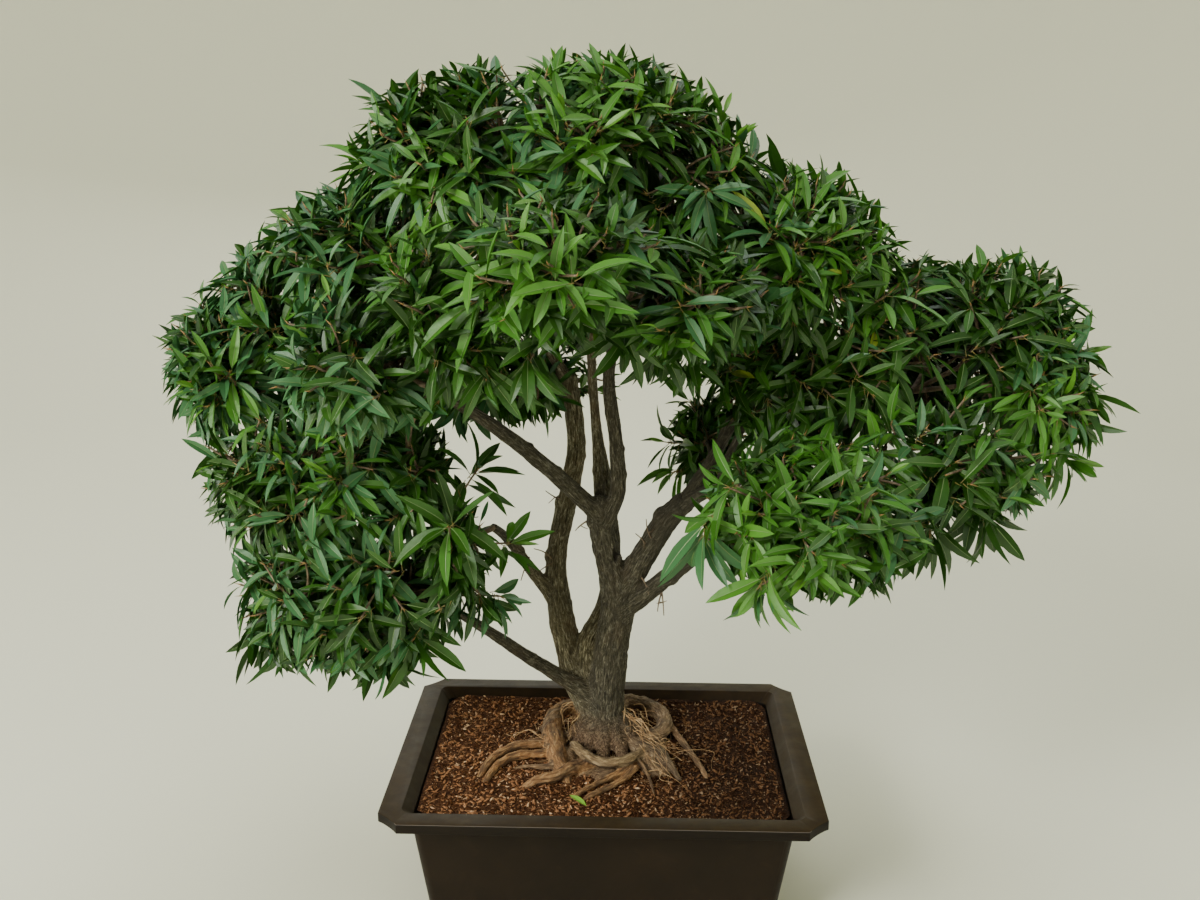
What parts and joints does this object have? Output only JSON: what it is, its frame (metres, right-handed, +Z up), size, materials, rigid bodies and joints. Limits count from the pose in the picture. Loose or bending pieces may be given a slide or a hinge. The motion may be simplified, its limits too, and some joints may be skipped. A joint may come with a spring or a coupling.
{
  "type": "willow leaf fig bonsai",
  "caption": "Potted indoor tree with a forked trunk, tapering boughs and separate rounded masses of narrow leaves, in a rectangular training pot filled with soil.",
  "frame": {"origin": "middle of the pot's flat underside", "axes": "+X along the pot's long side, +Z up, the tree's front faces -Y"},
  "size_m": [0.9641, 0.673, 0.9006],
  "materials": {
    "pot_plastic": "matt dark brown plastic, a little paler on the rim",
    "soil": "rough red-brown chips and crumbs",
    "bark": "grey-brown bark with fine furrows",
    "root_bark": "smooth orange-brown root bark",
    "leaf": "glossy narrow green leaves"
  },
  "bodies": {
    "root": {"back_stem": "bark", "centre_stem": "bark", "foliage_apex": "leaf", "foliage_back_far_right": "leaf", "foliage_back_left": "leaf", "foliage_back_left_low": "leaf", "foliage_back_low": "leaf", "foliage_back_right": "leaf", "foliage_back_top": "leaf", "foliage_far_right": "leaf", "foliage_front": "leaf", "foliage_front_left": "leaf", "foliage_front_right": "leaf", "foliage_left_bottom": "leaf", "foliage_left_crown": "leaf", "foliage_left_front": "leaf", "foliage_left_inner": "leaf", "foliage_left_inner_upper": "leaf", "foliage_left_lower": "leaf", "foliage_left_shoulder": "leaf", "foliage_left_tip": "leaf", "foliage_right_front": "leaf", "foliage_right_hanging": "leaf", "foliage_right_lower": "leaf", "foliage_right_mid": "leaf", "foliage_right_shoulder": "leaf", "foliage_right_small": "leaf", "foliage_right_tip": "leaf", "foliage_under_centre": "leaf", "foliage_upper_left": "leaf", "foliage_upper_right": "leaf", "left_bough": "bark", "left_outer_bough": "bark", "left_shoulder_bough": "bark", "left_side_bough": "bark", "left_stem": "bark", "low_left_bough": "bark", "low_right_bough": "bark", "pot": "pot_plastic", "right_back_bough": "bark", "right_bough": "bark", "right_lower_arm": "bark", "right_stem": "bark", "right_thin_bough": "bark", "right_upper_arm": "bark", "root_back": "root_bark", "root_front": "root_bark", "root_front_left": "root_bark", "root_front_loop": "root_bark", "root_left_loop": "root_bark", "root_left_lower": "root_bark", "root_left_upper": "root_bark", "root_right_knob": "root_bark", "root_right_ring": "root_bark", "root_right_thin": "root_bark", "soil": "soil", "trunk": "bark"}
  },
  "joints": []
}
